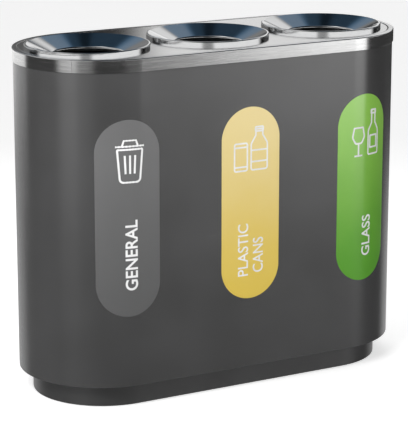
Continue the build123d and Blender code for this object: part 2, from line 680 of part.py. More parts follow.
def bracket(x, side, hand):
    """Riveted foot on the liner's wall, with an eye for the handle's end."""
    eye_x = x + hand * eye_centre()
    eye_y = side * HANDLE_PIVOT_Y
    wall = LINER_RADIUS + BRACKET_GAP
    foot = rod(x, 0, wall + BRACKET_SHEET, 0, BRACKET_HEIGHT)
    foot = Pos(0, 0, HANDLE_PIVOT_Z - BRACKET_HEIGHT / 2) * foot
    window = Box(BRACKET_WIDTH, LINER_RADIUS, BRACKET_HEIGHT)
    foot &= Pos(eye_x, side * LINER_RADIUS, HANDLE_PIVOT_Z) * window
    eye = Pos(eye_x, eye_y, HANDLE_PIVOT_Z) * Cylinder(EYE_RADIUS, EYE_WIDTH, rotation=(0, 90, 0))
    neck_length = HANDLE_PIVOT_Y / 2
    neck = Box(EYE_WIDTH, neck_length, 2 * EYE_RADIUS)
    neck = Pos(eye_x, eye_y - side * neck_length / 2, HANDLE_PIVOT_Z) * neck
    pail = rod(x, 0, wall, HANDLE_PIVOT_Z - BRACKET_HEIGHT, HANDLE_PIVOT_Z + BRACKET_HEIGHT)
    bore_radius = HANDLE_WIRE_RADIUS + PIVOT_CLEARANCE
    bore = Cylinder(bore_radius, 2 * EYE_WIDTH, rotation=(0, 90, 0))
    body = foot + eye + neck - pail - Pos(eye_x, eye_y, HANDLE_PIVOT_Z) * bore
    for places in bracket_rivet_places(x):
        body -= bracket_rivet_hole(*places)
    return one(body)


def bracket_rivet_places(x):
    """Stream x, turn about the liner's axis and height of each rivet."""
    turn = math.degrees(math.asin(eye_centre() / LINER_RADIUS))
    turns = [quarter + hand * turn for quarter in (-90, 90) for hand in (-1, 1)]
    heights = [HANDLE_PIVOT_Z + side * BRACKET_RIVET_PITCH / 2 for side in (-1, 1)]
    return [(x, angle, z) for angle in turns for z in heights]


def bracket_rivet_hole(x, angle, z):
    radius = BRACKET_RIVET_RADIUS + RIVET_HOLE_CLEARANCE
    hole = Cylinder(radius, 4 * HANDLE_STAND_OFF, rotation=(0, 90, 0))
    return Pos(x, 0, z) * Rot(0, 0, angle) * Pos(LINER_RADIUS, 0, 0) * hole


def bracket_rivet(x, angle, z):
    inside = LINER_RADIUS - LINER_SHEET
    outside = LINER_RADIUS + BRACKET_GAP + BRACKET_SHEET
    head = BRACKET_RIVET_HEAD_HEIGHT
    shank = Cylinder(BRACKET_RIVET_RADIUS, outside - inside + 2 * head, rotation=(0, 90, 0))
    cap = Cylinder(BRACKET_RIVET_HEAD_RADIUS, head, rotation=(0, 90, 0))
    rivet = Pos((inside + outside) / 2, 0, 0) * shank
    rivet += Pos(outside + BRACKET_RIVET_OUTER_GAP + head / 2, 0, 0) * cap
    rivet += Pos(inside - BRACKET_RIVET_CAP_GAP - head / 2, 0, 0) * cap
    return one(Pos(x, 0, z) * Rot(0, 0, angle) * rivet)


# ---------------------------------------------------------------- write every piece

write("plinth", plinth())
write("plinth_bolts", *[plinth_bolt(x, y) for x, y in plinth_bolt_places()])
write("plinth_nuts", *[plinth_nut(x, y) for x, y in plinth_bolt_places()])
write("floor_pan", floor_pan())
write("anchor_sleeves", *[anchor_sleeve(x, y) for x, y in anchor_places()])
write("foot_pads", *[foot_pad(x, y) for x, y in foot_places()])
write("foot_studs", *[foot_stud(x, y) for x, y in foot_places()])
write("foot_bosses", *[foot_boss(x, y) for x, y in foot_places()])
write("foot_locknuts", *[foot_nut(x, y) for x, y in foot_places()])

write("outer_shell", outer_shell())
write("seam_strip", seam_strip())
write("seam_rivets", *[seam_rivet(x, z) for x, z in seam_rivet_places()])
write("edge_trim", edge_trim())
write("mouth_stiffener", stiffener())

write("lid_rim", lid_rim())
write("lid_deck", lid_deck())
write("lid_frame", lid_frame())
write("lid_guides", *[lid_guide(x, y) for x, y in guide_places()])
write("guide_screws", *[guide_screw(x, y) for x, y in guide_screw_places()])
all_clamps = [place for x in STREAMS.values() for place in clamp_places(x)]
write("funnel_studs", *[clamp_stud(x, y) for x, y in all_clamps])
write("funnel_nuts", *[clamp_nut(x, y) for x, y in all_clamps])

for name, stream_x in STREAMS.items():
    write(f"label_{name}", label(stream_x))
    write(f"funnel_{name}", funnel(stream_x))
    write(f"clamp_ring_{name}", clamp_ring(stream_x))
    write(f"locating_ring_{name}", locating_ring(stream_x))
    write(f"liner_{name}", liner(stream_x))
    write(f"bag_ring_{name}", bag_ring(stream_x))
    write(f"handle_{name}_front", handle(stream_x, -1))
    write(f"handle_{name}_back", handle(stream_x, 1))
    sides = [(side, hand) for side in (-1, 1) for hand in (-1, 1)]
    write(f"handle_eyes_{name}", *[bracket(stream_x, side, hand) for side, hand in sides])
    rivets = [bracket_rivet(*place) for place in bracket_rivet_places(stream_x)]
    write(f"eye_rivets_{name}", *rivets)
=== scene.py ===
import math

import bmesh
import bpy
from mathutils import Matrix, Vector


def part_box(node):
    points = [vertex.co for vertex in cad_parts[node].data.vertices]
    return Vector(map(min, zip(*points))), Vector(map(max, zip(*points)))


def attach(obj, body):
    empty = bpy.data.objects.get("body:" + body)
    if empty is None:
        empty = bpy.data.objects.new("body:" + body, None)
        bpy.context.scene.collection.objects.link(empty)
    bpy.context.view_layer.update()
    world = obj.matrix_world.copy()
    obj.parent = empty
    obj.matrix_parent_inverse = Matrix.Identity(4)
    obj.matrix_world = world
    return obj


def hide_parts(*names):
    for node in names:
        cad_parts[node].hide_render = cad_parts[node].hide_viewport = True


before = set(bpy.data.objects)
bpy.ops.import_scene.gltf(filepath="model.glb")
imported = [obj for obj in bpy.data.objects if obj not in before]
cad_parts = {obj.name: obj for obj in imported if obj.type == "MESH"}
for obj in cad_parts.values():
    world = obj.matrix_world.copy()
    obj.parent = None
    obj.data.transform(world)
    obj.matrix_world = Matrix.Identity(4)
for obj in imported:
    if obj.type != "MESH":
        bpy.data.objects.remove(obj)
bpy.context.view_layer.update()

# A three-stream recycling bin: metres, front towards -Y, ground at Z = 0.
MM = 0.001

# ------------------------------------------------------------------ sizes read from the frame

shell_low, shell_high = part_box("outer_shell")
plinth_low, plinth_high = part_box("plinth")
rim_low, rim_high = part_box("lid_rim")
deck_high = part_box("lid_deck")[1]

# The boxes of tessellated rounds read a hair short, so widths come from the flat long sides.
RIM_OVERHANG = 2.5 * MM
SHELL_WIDTH = shell_high.y - shell_low.y
SHELL_LENGTH = rim_high.x - rim_low.x - 2 * RIM_OVERHANG
SHELL_SHEET = 1.5 * MM
PLINTH_INSET = (SHELL_WIDTH - (plinth_high.y - plinth_low.y)) / 2
PLINTH_SHEET = 2.0 * MM
PLINTH_FLANGE = 18.0 * MM
LID_SHEET = 1.2 * MM
RIM_TOP_WIDTH = 12.0 * MM
RIM_LEG_DEPTH = 14.0 * MM
RIM_EDGE_RADIUS = 2.2 * MM
GROOVE_WIDTH = 1.4 * MM
DECK_EDGE_RADIUS = 1.8 * MM
DECK_HOLE_GAP = 1.0 * MM
DECK_CUTTER_DEPTH = 50.0 * MM
LIP_WIDTH = 4.5 * MM
LIP_RADIUS = 2.0 * MM
THROAT_RADIUS = 84.0 * MM
THROAT_DROP = 15.0 * MM
THROAT_EDGE_RADIUS = 4.0 * MM
SPIGOT_DEPTH = 9.0 * MM
SPIGOT_FLARE = 2.5 * MM
LABEL_GAP = 0.05 * MM
LABEL_SHEET = 0.3 * MM
LABEL_WIDTH = 150.0 * MM
PRINT_RISE = 0.05 * MM
PRINT_EDGE = 8.0 * MM
LABEL_STEPS = 64
BEND_STEPS = 6
END_STEPS = 48
SPIN_STEPS = 160
SEAM_GAP = 0.8 * MM
RIM_SEAM_GAP = 0.5 * MM
RIM_SEAM_TURN = math.radians(225)

STREAMS = {}
for stream in ("left", "centre", "right"):
    low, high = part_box(f"funnel_{stream}")
    STREAMS[stream] = (low.x + high.x) / 2
STREAMS["centre"] = 0.0
COLLAR_RADIUS = (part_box("funnel_centre")[1].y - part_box("funnel_centre")[0].y) / 2
LIP_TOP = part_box("funnel_centre")[1].z
RIM_TOP = rim_high.z
DECK_TOP = deck_high.z
# Label heights over which the films' painted light blends from the foot colour up to the paler
# top colour.
PAINTED_LIGHT_LOW, PAINTED_LIGHT_HIGH = (corner.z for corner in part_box("label_centre"))
STRAIGHT = (SHELL_LENGTH - SHELL_WIDTH) / 2
END_RADIUS = SHELL_WIDTH / 2


# ------------------------------------------------------------------ shader wiring

class Signal:
    """A shader socket that takes part in Python arithmetic."""

    def __init__(self, finish, socket):
        self.finish = finish
        self.socket = socket

    def math(self, operation, *others):
        values = {place: value for place, value in enumerate(others)}
        return self.finish.add("ShaderNodeMath", {"operation": operation}, values)

    def beside(self, output):
        """Another output of the same node."""
        return Signal(self.finish, self.socket.node.outputs[output])

    def __add__(self, other):
        return self.math("ADD", self, other)

    def __sub__(self, other):
        return self.math("SUBTRACT", self, other)

    def __rsub__(self, other):
        return self.math("SUBTRACT", other, self)

    def __mul__(self, other):
        return self.math("MULTIPLY", self, other)

    def __truediv__(self, other):
        return self.math("DIVIDE", self, other)

    def __rtruediv__(self, other):
        return self.math("DIVIDE", other, self)

    def __pow__(self, other):
        return self.math("POWER", self, other)

    def __rpow__(self, other):
        return self.math("POWER", other, self)

    __radd__ = __add__
    __rmul__ = __mul__


class Finish:
    """A material or world node tree; add() makes any node and returns one output as a Signal."""

    def __init__(self, name, owner=None):
        self.owner = owner or bpy.data.materials.new(name)
        self.owner.use_nodes = True
        self.tree = self.owner.node_tree
        self.tree.nodes.clear()

    def add(self, kind, settings=None, sockets=None, output=0):
        node = self.tree.nodes.new(kind)
        for key, value in (settings or {}).items():
            setattr(node, key, value)
        for key, value in (sockets or {}).items():
            if isinstance(value, Signal):
                self.tree.links.new(value.socket, node.inputs[key])
            else:
                node.inputs[key].default_value = value
        return Signal(self, node.outputs[output]) if len(node.outputs) else None

    def place(self, scale=(1, 1, 1)):
        """Object coordinates, stretched."""
        where = self.add("ShaderNodeTexCoord", output="Object")
        return self.add("ShaderNodeMapping", None, {"Vector": where, "Scale": scale})

    def noise(self, scale=(1, 1, 1), size=1.0, detail=2.0, roughness=0.5):
        sockets = {"Vector": self.place(scale), "Scale": size, "Detail": detail}
        sockets["Roughness"] = roughness
        return self.add("ShaderNodeTexNoise", None, sockets)

    def mix(self, share, first, second):
        sockets = {0: share, 6: first, 7: second}
        return self.add("ShaderNodeMix", {"data_type": "RGBA"}, sockets, output=2)

    def smooth(self, value, low, high, low_out=0.0, high_out=1.0):
        """Eased step from low_out to high_out as value goes from low to high."""
        settings = {"interpolation_type": "SMOOTHSTEP"}
        sockets = {"Value": value, "From Min": low, "From Max": high}
        sockets.update({"To Min": low_out, "To Max": high_out})
        return self.add("ShaderNodeMapRange", settings, sockets)

    def surface(self, sockets, bump=None, strength=0.1, depth=0.0002):
        if bump is not None:
            values = {"Height": bump, "Strength": strength, "Distance": depth}
            sockets["Normal"] = self.add("ShaderNodeBump", None, values)
        shader = self.add("ShaderNodeBsdfPrincipled", None, sockets)
        self.add("ShaderNodeOutputMaterial", None, {"Surface": shader})
        return self.owner


def grey(value, tint=(1.0, 1.0, 1.0)):
    return (value * tint[0], value * tint[1], value * tint[2], 1.0)


# ------------------------------------------------------------------ finishes

def powder_coat(name, colour, roughness, peel):
    """Baked metallic powder: fine orange peel, faint clouding and level streaks."""
    f = Finish(name)
    cloud = f.noise(size=5.0, detail=3.0)
    grain = f.noise(size=850.0, detail=2.0)
    fleck = f.noise(size=2600.0, detail=1.0)
    streak = f.noise((7, 7, 420), 1.0, 3.0)
    shade = f.smooth(cloud + 0.3 * (fleck - 0.5) + 0.2 * (streak - 0.5), 0.3, 0.75)
    base = f.mix(shade, grey(colour * 0.93), grey(colour * 1.07, (1.0, 1.0, 1.01)))
    rough = roughness + 0.06 * (cloud - 0.5) + 0.08 * (grain - 0.5) + 0.09 * (streak - 0.5)
    sockets = {"Base Color": base, "Roughness": rough, "Metallic": 0.74}
    return f.surface(sockets, grain + 0.7 * streak, peel, 0.00012)


def brushed_steel(name, along, colour, roughness, streak_depth):
    """Stainless sheet with fine scratches that run the way along says."""
    f = Finish(name)
    fine = f.noise(along, 1.0, 2.0, 0.6)
    broad = f.noise(tuple(0.22 * a for a in along), 1.0, 3.0, 0.6)
    cloud = f.noise(size=7.0, detail=2.0)
    streak = 0.6 * fine + 0.4 * broad
    lit = f.smooth(streak, 0.3, 0.7)
    base = f.mix(lit, grey(colour * 0.76), grey(colour * 1.04, (1.0, 1.0, 0.995)))
    rough = roughness + 0.16 * (streak - 0.5) + 0.05 * (cloud - 0.5)
    sockets = {"Base Color": base, "Roughness": rough, "Metallic": 1.0}
    return f.surface(sockets, streak, streak_depth, 0.0002)


def polished_steel(name, colour, roughness):
    """Spun and polished stainless: faint smears and hair lines."""
    f = Finish(name)
    smear = f.noise(size=22.0, detail=4.0)
    hair = f.noise((60, 60, 1400), 1.0, 2.0)
    base = f.mix(smear, grey(colour * 0.94, (0.98, 0.99, 1.0)), grey(colour))
    rough = roughness + 0.05 * (smear - 0.5) + 0.04 * (hair - 0.5)
    sockets = {"Base Color": base, "Roughness": rough, "Metallic": 1.0}
    return f.surface(sockets, hair, 0.04, 0.0001)


def galvanised(name, colour=0.5):
    """Zinc-dipped sheet with spangle."""
    f = Finish(name)
    where = f.place()
    sockets = {"Vector": where, "Scale": 130.0}
    spangle = f.add("ShaderNodeTexVoronoi", {"feature": "F1"}, sockets, output="Color")
    crystal = f.add("ShaderNodeSeparateColor", None, {0: spangle})
    cloud = f.noise(size=9.0, detail=4.0)
    share = 0.6 * crystal + 0.4 * cloud
    base = f.mix(share, grey(colour * 0.78, (0.97, 1.0, 1.03)), grey(colour * 1.05))
    rough = 0.36 + 0.22 * (share - 0.5)
    return f.surface({"Base Color": base, "Roughness": rough, "Metallic": 1.0}, cloud, 0.05)


def bright_zinc(name):
    f = Finish(name)
    cloud = f.noise(size=60.0, detail=3.0)
    base = f.mix(cloud, grey(0.52, (1.0, 0.99, 0.95)), grey(0.68, (0.98, 1.0, 1.03)))
    rough = 0.27 + 0.15 * (cloud - 0.5)
    return f.surface({"Base Color": base, "Roughness": rough, "Metallic": 1.0}, cloud, 0.05)


def moulded(name, colour, roughness, grain_size):
    """Moulded nylon or rubber with a fine texture."""
    f = Finish(name)
    grain = f.noise(size=grain_size, detail=3.0)
    cloud = f.noise(size=30.0, detail=2.0)
    base = f.mix(cloud, grey(colour * 0.85), grey(colour * 1.2))
    rough = roughness + 0.12 * (grain - 0.5)
    return f.surface({"Base Color": base, "Roughness": rough}, grain, 0.2, 0.0003)


def vinyl_film(name, top, foot):
    """Printed satin film under a thin clear layer: faint mottle, and a painted highlight that
    makes the colour paler towards the top, as if lit from above.
    """
    f = Finish(name)
    height = f.add("ShaderNodeSeparateXYZ", None, {0: f.place()}, output=2)
    mottle = f.noise(size=14.0, detail=3.0)
    screen = f.noise(size=1500.0, detail=1.0)
    grain = 0.1 * (mottle - 0.5) + 0.03 * (screen - 0.5)
    # Painted light: the colour blends by height from the foot colour up to the paler top colour,
    # standing in for light falling from above.
    share = f.smooth(height + grain, PAINTED_LIGHT_LOW, PAINTED_LIGHT_HIGH)
    base = f.mix(share, (*foot, 1.0), (*top, 1.0))
    rough = 0.42 + 0.1 * (mottle - 0.5) + 0.06 * (screen - 0.5)
    sockets = {"Base Color": base, "Roughness": rough, "Coat Weight": 1.0}
    sockets.update({"Coat Roughness": 0.15, "Coat IOR": 2.0})
    return f.surface(sockets, screen, 0.06, 0.0001)


SHELL_COAT = powder_coat("shell_coat", 0.166, 0.23, 0.06)
PLINTH_COAT = powder_coat("plinth_coat", 0.13, 0.36, 0.14)
RIM_STEEL = brushed_steel("rim_steel", (34, 34, 1300), 0.72, 0.17, 0.1)
DECK_STEEL = brushed_steel("deck_steel", (6, 1300, 6), 0.68, 0.12, 0.06)
FUNNEL_STEEL = polished_steel("funnel_steel", 0.72, 0.1)
ZINC_SHEET = galvanised("zinc_sheet")
ZINC_BRIGHT = bright_zinc("zinc_bright")
NYLON = moulded("nylon", 0.02, 0.5, 900.0)
RUBBER = moulded("rubber", 0.014, 0.7, 1400.0)
PRINT_WHITE = moulded("print_white", 0.74, 0.42, 1500.0)
# Each film gives a paler top colour, then its foot colour. The paler top is painted light from
# above, not a different ink.
FILMS = {
    "left": vinyl_film("film_grey", (0.14, 0.14, 0.141), (0.1, 0.1, 0.101)),
    "centre": vinyl_film("film_yellow", (0.82, 0.66, 0.28), (0.76, 0.545, 0.062)),
    "right": vinyl_film("film_green", (0.27, 0.6, 0.06), (0.085, 0.36, 0.002)),
}


# ------------------------------------------------------------------ Geometry Nodes

class Tree:
    """A Geometry Nodes tree with named inputs."""

    def __init__(self, name, inputs):
        self.group = bpy.data.node_groups.new(name, "GeometryNodeTree")
        for label, kind in inputs:
            self.group.interface.new_socket(label, in_out="INPUT", socket_type=kind)
        self.group.interface.new_socket(
            "Geometry", in_out="OUTPUT", socket_type="NodeSocketGeometry")
        self.entry = self.group.nodes.new("NodeGroupInput")
        self.exit = self.group.nodes.new("NodeGroupOutput")

    def given(self, label):
        return self.entry.outputs[label]

    def add(self, kind, settings=None, sockets=None, output=0):
        node = self.group.nodes.new(kind)
        for key, value in (settings or {}).items():
            setattr(node, key, value)
        for key, value in (sockets or {}).items():
            for item in value if isinstance(value, list) else [value]:
                if isinstance(item, bpy.types.NodeSocket):
                    self.group.links.new(item, node.inputs[key])
                else:
                    node.inputs[key].default_value = item
        return node.outputs[output]

    def close(self, geometry):
        """Realize Instances and Set Material, then out."""
        solid = self.add("GeometryNodeRealizeInstances", None, {"Geometry": geometry})
        sockets = {"Geometry": solid, "Material": self.given("Material")}
        painted = self.add("GeometryNodeSetMaterial", None, sockets)
        self.group.links.new(painted, self.exit.inputs[0])
        return self


def swept_tree(name, round_path):
    """Sweeps a sheet's section round a round-ended outline, or round a circle."""
    sizes = [("Length", "NodeSocketFloat"), ("Width", "NodeSocketFloat")]
    sizes += [("Steps", "NodeSocketInt"), ("Section", "NodeSocketObject")]
    sizes += [("Centre", "NodeSocketVector"), ("Seam Place", "NodeSocketVector")]
    sizes += [("Seam Turn", "NodeSocketVector"), ("Seam Size", "NodeSocketVector")]
    sizes += [("Material", "NodeSocketMaterial")]
    tree = Tree(name, sizes)
    sockets = {0: tree.given("Width"), 1: 0.5}
    half = tree.add("ShaderNodeMath", {"operation": "MULTIPLY"}, sockets)
    if round_path:
        sockets = {"Radius": half, "Resolution": tree.given("Steps")}
        path = tree.add("GeometryNodeCurvePrimitiveCircle", None, sockets)
    else:
        sockets = {"Width": tree.given("Length"), "Height": tree.given("Width")}
        block = tree.add("GeometryNodeCurvePrimitiveQuadrilateral", None, sockets)
        sockets = {"Curve": block, "Radius": half, "Count": tree.given("Steps")}
        sockets["Limit Radius"] = True
        path = tree.add("GeometryNodeFilletCurve", {"mode": "POLY"}, sockets)
    path = tree.add("GeometryNodeSetCurveNormal", {"mode": "Z_UP"}, {"Curve": path})
    sockets = {"Object": tree.given("Section")}
    section = tree.add("GeometryNodeObjectInfo", None, sockets, "Geometry")
    sockets = {"Curve": path, "Profile Curve": section}
    sheet = tree.add("GeometryNodeCurveToMesh", None, sockets)
    sheet = tree.add("GeometryNodeMergeByDistance", None, {"Geometry": sheet, "Distance": 1e-6})
    sockets = {"Geometry": sheet, "Translation": tree.given("Centre")}
    sheet = tree.add("GeometryNodeTransform", None, sockets)
    knife = tree.add("GeometryNodeMeshCube", None, {"Size": tree.given("Seam Size")})
    sockets = {"Geometry": knife, "Translation": tree.given("Seam Place")}
    sockets["Rotation"] = tree.given("Seam Turn")
    knife = tree.add("GeometryNodeTransform", None, sockets)
    settings = {"operation": "DIFFERENCE", "solver": "EXACT"}
    cut = tree.add("GeometryNodeMeshBoolean", settings, {"Mesh 1": sheet, "Mesh 2": knife})
    return tree.close(cut)


def run_tree(name, tree, values):
    """Runs a tree on an empty mesh with the named values and keeps the result as a plain mesh."""
    carrier = bpy.data.objects.new(name + "_carrier", bpy.data.meshes.new(name + "_carrier"))
    bpy.context.scene.collection.objects.link(carrier)
    modifier = carrier.modifiers.new("shape", "NODES")
    modifier.node_group = tree.group
    for item in tree.group.interface.items_tree:
        if item.in_out == "INPUT" and item.name in values:
            modifier[item.identifier] = values[item.name]
    graph = bpy.context.evaluated_depsgraph_get()
    mesh = bpy.data.meshes.new_from_object(carrier.evaluated_get(graph), depsgraph=graph)
    carrier.modifiers.remove(modifier)
    bpy.data.objects.remove(carrier)
    return mesh


# ------------------------------------------------------------------ mesh helpers

def finished(name, mesh, material, body, replaced=(), sharp=30.0, weigh=True):
    """Turns faces outwards, sets soft and hard edges, and seats the piece on its body."""
    work = bmesh.new()
    work.from_mesh(mesh)
    bmesh.ops.remove_doubles(work, verts=work.verts, dist=1e-7)
    bmesh.ops.recalc_face_normals(work, faces=work.faces)
    work.to_mesh(mesh)
    work.free()
    mesh.materials.clear()
    mesh.materials.append(material)
    mesh.polygons.foreach_set("use_smooth", [True] * len(mesh.polygons))
    mesh.set_sharp_from_angle(angle=math.radians(sharp))
    piece = bpy.data.objects.new(name, mesh)
    bpy.context.scene.collection.objects.link(piece)
    if weigh:
        even = piece.modifiers.new("even", "WEIGHTED_NORMAL")
        even.keep_sharp = True
    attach(piece, body)
    if replaced:
        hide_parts(*replaced)
    return piece


def section_curve(name, points):
    """Closed section of a sheet, given as (outward, height) pairs."""
    curve = bpy.data.curves.new(name, "CURVE")
    curve.dimensions = "3D"
    spline = curve.splines.new("POLY")
    spline.points.add(len(points) - 1)
    for point, (outward, height) in zip(spline.points, points):
        point.co = (outward, -height, 0.0, 1.0)
    spline.use_cyclic_u = True
    holder = bpy.data.objects.new(name, curve)
    bpy.context.scene.collection.objects.link(holder)
    return holder


def rounded(points, radii, steps=6):
    """Closed outline with each corner replaced by an arc of its radius."""
    result = []
    count = len(points)
    for place, radius in enumerate(radii):
        corner = Vector(points[place])
        before = Vector(points[place - 1]) - corner
        after = Vector(points[(place + 1) % count]) - corner
        if radius <= 0:
            result.append(tuple(corner))
            continue
        turn = before.angle(after)
        reach = radius / math.tan(turn / 2)
        middle = corner + (before.normalized() + after.normalized()).normalized() * (
            radius / math.sin(turn / 2))
        start = corner + before.normalized() * reach - middle
        end = corner + after.normalized() * reach - middle
        sweep = start.angle_signed(end)
        for step in range(steps + 1):
            angle = -sweep * step / steps
            x = start.x * math.cos(angle) - start.y * math.sin(angle)
            y = start.x * math.sin(angle) + start.y * math.cos(angle)
            result.append((middle.x + x, middle.y + y))
    return result


SPIN_PATH = 50.0 * MM
NO_SEAM = {"Seam Size": (1e-4, 1e-4, 1e-4), "Seam Place": (0.0, 0.0, 5.0)}
LONG_RING = swept_tree("long_ring", False)
SPUN_RING = swept_tree("spun_ring", True)


def swept(name, section, length, width, material, seam=None):
    """Sheet whose section is measured outwards from a round-ended outline."""
    holder = section_curve(name + "_section", section)
    values = {"Length": length, "Width": width, "Steps": END_STEPS, "Section": holder}
    values.update({"Centre": (0.0, 0.0, 0.0), "Material": material})
    values.update(seam or NO_SEAM)
    mesh = run_tree(name, LONG_RING, values)
    bpy.data.objects.remove(holder)
    return mesh


def spun(name, section, x, material, steps=SPIN_STEPS):
    """Sheet whose section is measured outwards from an upright axis at x."""
    holder = section_curve(name + "_section", [(r - SPIN_PATH, z) for r, z in section])
    values = {"Width": 2 * SPIN_PATH, "Steps": steps, "Section": holder, "Material": material}
    values.update({"Centre": (x, 0.0, 0.0), **NO_SEAM})
    mesh = run_tree(name, SPUN_RING, values)
    bpy.data.objects.remove(holder)
    return mesh


# ------------------------------------------------------------------ base and shell

def make_plinth():
    low, high = plinth_low.z, plinth_high.z
    corners = [(0, low), (0, high), (-PLINTH_FLANGE, high), (-PLINTH_FLANGE, high - PLINTH_SHEET)]
    corners += [(-PLINTH_SHEET, high - PLINTH_SHEET), (-PLINTH_SHEET, low)]
    radii = [0.5 * MM, 1.6 * MM, 0.3 * MM, 0.3 * MM, 0.5 * MM, 0.5 * MM]
    length = SHELL_LENGTH - 2 * PLINTH_INSET
    width = SHELL_WIDTH - 2 * PLINTH_INSET
    mesh = swept("plinth_wall", rounded(corners, radii), length, width, PLINTH_COAT)
    finished("plinth_wall", mesh, PLINTH_COAT, "bin", ["plinth"])


def make_shell():
    low, high = shell_low.z, shell_high.z
    corners = [(0, low), (0, high), (-SHELL_SHEET, high), (-SHELL_SHEET, low)]
    section = rounded(corners, [0.6 * MM, 0.4 * MM, 0.4 * MM, 0.6 * MM], 4)
    seam_x = STREAMS["right"] / 2
    seam = {"Seam Size": (SEAM_GAP, 6 * SHELL_SHEET, 2 * (high - low))}
    seam["Seam Place"] = (seam_x, SHELL_WIDTH / 2, (low + high) / 2)
    mesh = swept("shell_sheet", section, SHELL_LENGTH, SHELL_WIDTH, SHELL_COAT, seam)
    finished("shell_sheet", mesh, SHELL_COAT, "bin", ["outer_shell"])


# ------------------------------------------------------------------ lid

def make_rim():
    top, low = RIM_TOP, rim_low.z
    leg = top - RIM_LEG_DEPTH
    inner = -RIM_TOP_WIDTH
    corners = [(0, low), (0, top), (inner, top), (inner, leg), (inner + LID_SHEET, leg)]
    corners += [(inner + LID_SHEET, top - LID_SHEET), (-LID_SHEET, top - LID_SHEET)]
    corners.append((-LID_SHEET, low))
    bend = RIM_EDGE_RADIUS
    radii = [0.4 * MM, bend, 1.0 * MM, 0.3 * MM, 0.3 * MM, 0, bend - LID_SHEET, 0.4 * MM]
    length, width = SHELL_LENGTH + 2 * RIM_OVERHANG, SHELL_WIDTH + 2 * RIM_OVERHANG
    reach = width / 2 - RIM_TOP_WIDTH / 2
    seam = {"Seam Size": (3 * RIM_TOP_WIDTH, RIM_SEAM_GAP, 4 * (top - low))}
    x = -STRAIGHT + reach * math.cos(RIM_SEAM_TURN)
    seam["Seam Place"] = (x, reach * math.sin(RIM_SEAM_TURN), top)
    seam["Seam Turn"] = (0.0, 0.0, RIM_SEAM_TURN)
    mesh = swept("rim_band", rounded(corners, radii), length, width, RIM_STEEL, seam)
    finished("rim_band", mesh, RIM_STEEL, "lid", ["lid_rim"])


def outline_loop(work, offset, height, steps=END_STEPS):
    """Vertices of the shell's outline moved outwards by offset."""
    radius = END_RADIUS + offset
    loop = []
    for end, start in ((1, -math.pi / 2), (-1, math.pi / 2)):
        for step in range(2 * steps + 1):
            turn = start + math.pi * step / (2 * steps)
            x = end * STRAIGHT + radius * math.cos(turn)
            loop.append(work.verts.new((x, radius * math.sin(turn), height)))
    return loop


def bridge(work, lower, upper):
    count = len(lower)
    for place in range(count):
        following = (place + 1) % count
        work.faces.new((lower[place], lower[following], upper[following], upper[place]))


def deck_blank():
    """Shallow tray, open below, whose edge is turned down with a small bend."""
    outer = RIM_OVERHANG - RIM_TOP_WIDTH - GROOVE_WIDTH
    bottom = RIM_TOP - RIM_LEG_DEPTH
    radius = DECK_EDGE_RADIUS
    path = []
    for step in range(BEND_STEPS + 1):
        turn = math.pi / 2 * step / BEND_STEPS
        height = DECK_TOP - radius + radius * math.cos(turn)
        path.append((outer - radius + radius * math.sin(turn), height))
    path.append((outer, bottom))
    path.append((outer - LID_SHEET, bottom))
    inner = radius - LID_SHEET
    for step in range(BEND_STEPS // 2 + 1):
        turn = math.pi / 2 * (1 - 2 * step / BEND_STEPS)
        height = DECK_TOP - radius + inner * math.cos(turn)
        path.append((outer - radius + inner * math.sin(turn), height))
    work = bmesh.new()
    loops = [outline_loop(work, offset, height) for offset, height in path]
    for upper, lower in zip(loops, loops[1:]):
        bridge(work, lower, upper)
    work.faces.new(loops[0])
    work.faces.new(list(reversed(loops[-1])))
    bmesh.ops.recalc_face_normals(work, faces=work.faces)
    mesh = bpy.data.meshes.new("deck_blank")
    work.to_mesh(mesh)
    work.free()
    return mesh


def cone_line():
    """Middle line corners of the funnel's lip and throat, and the cone's slope."""
    lip = (COLLAR_RADIUS - LIP_WIDTH, LIP_TOP - LID_SHEET / 2)
    throat = (THROAT_RADIUS + LID_SHEET / 2, RIM_TOP - THROAT_DROP - LID_SHEET / 2)
    return lip, throat, (lip[1] - throat[1]) / (lip[0] - throat[0])


def deck_hole_radius():
    lip, _, slope = cone_line()
    half_sheet = LID_SHEET / 2 * math.hypot(1.0, slope)
    return lip[0] - (lip[1] - half_sheet - DECK_TOP) / slope + DECK_HOLE_GAP


def make_deck():
    blank = bpy.data.objects.new("deck_blank", deck_blank())
    cutters = bmesh.new()
    for x in STREAMS.values():
        made = bmesh.ops.create_cone(
            cutters, cap_ends=True, segments=SPIN_STEPS, radius1=deck_hole_radius(),
            radius2=deck_hole_radius(), depth=DECK_CUTTER_DEPTH)
        bmesh.ops.translate(cutters, verts=made["verts"], vec=(x, 0, DECK_TOP))
    cutter_mesh = bpy.data.meshes.new("deck_holes")
    cutters.to_mesh(cutter_mesh)
    cutters.free()
    holes = bpy.data.objects.new("deck_holes", cutter_mesh)
    for item in (blank, holes):
        bpy.context.scene.collection.objects.link(item)
    cut = blank.modifiers.new("holes", "BOOLEAN")
    cut.object = holes
    cut.solver = "EXACT"
    graph = bpy.context.evaluated_depsgraph_get()
    mesh = bpy.data.meshes.new_from_object(blank.evaluated_get(graph), depsgraph=graph)
    bpy.data.objects.remove(blank)
    bpy.data.objects.remove(holes)
    finished("deck_plate", mesh, DECK_STEEL, "lid", ["lid_deck"])


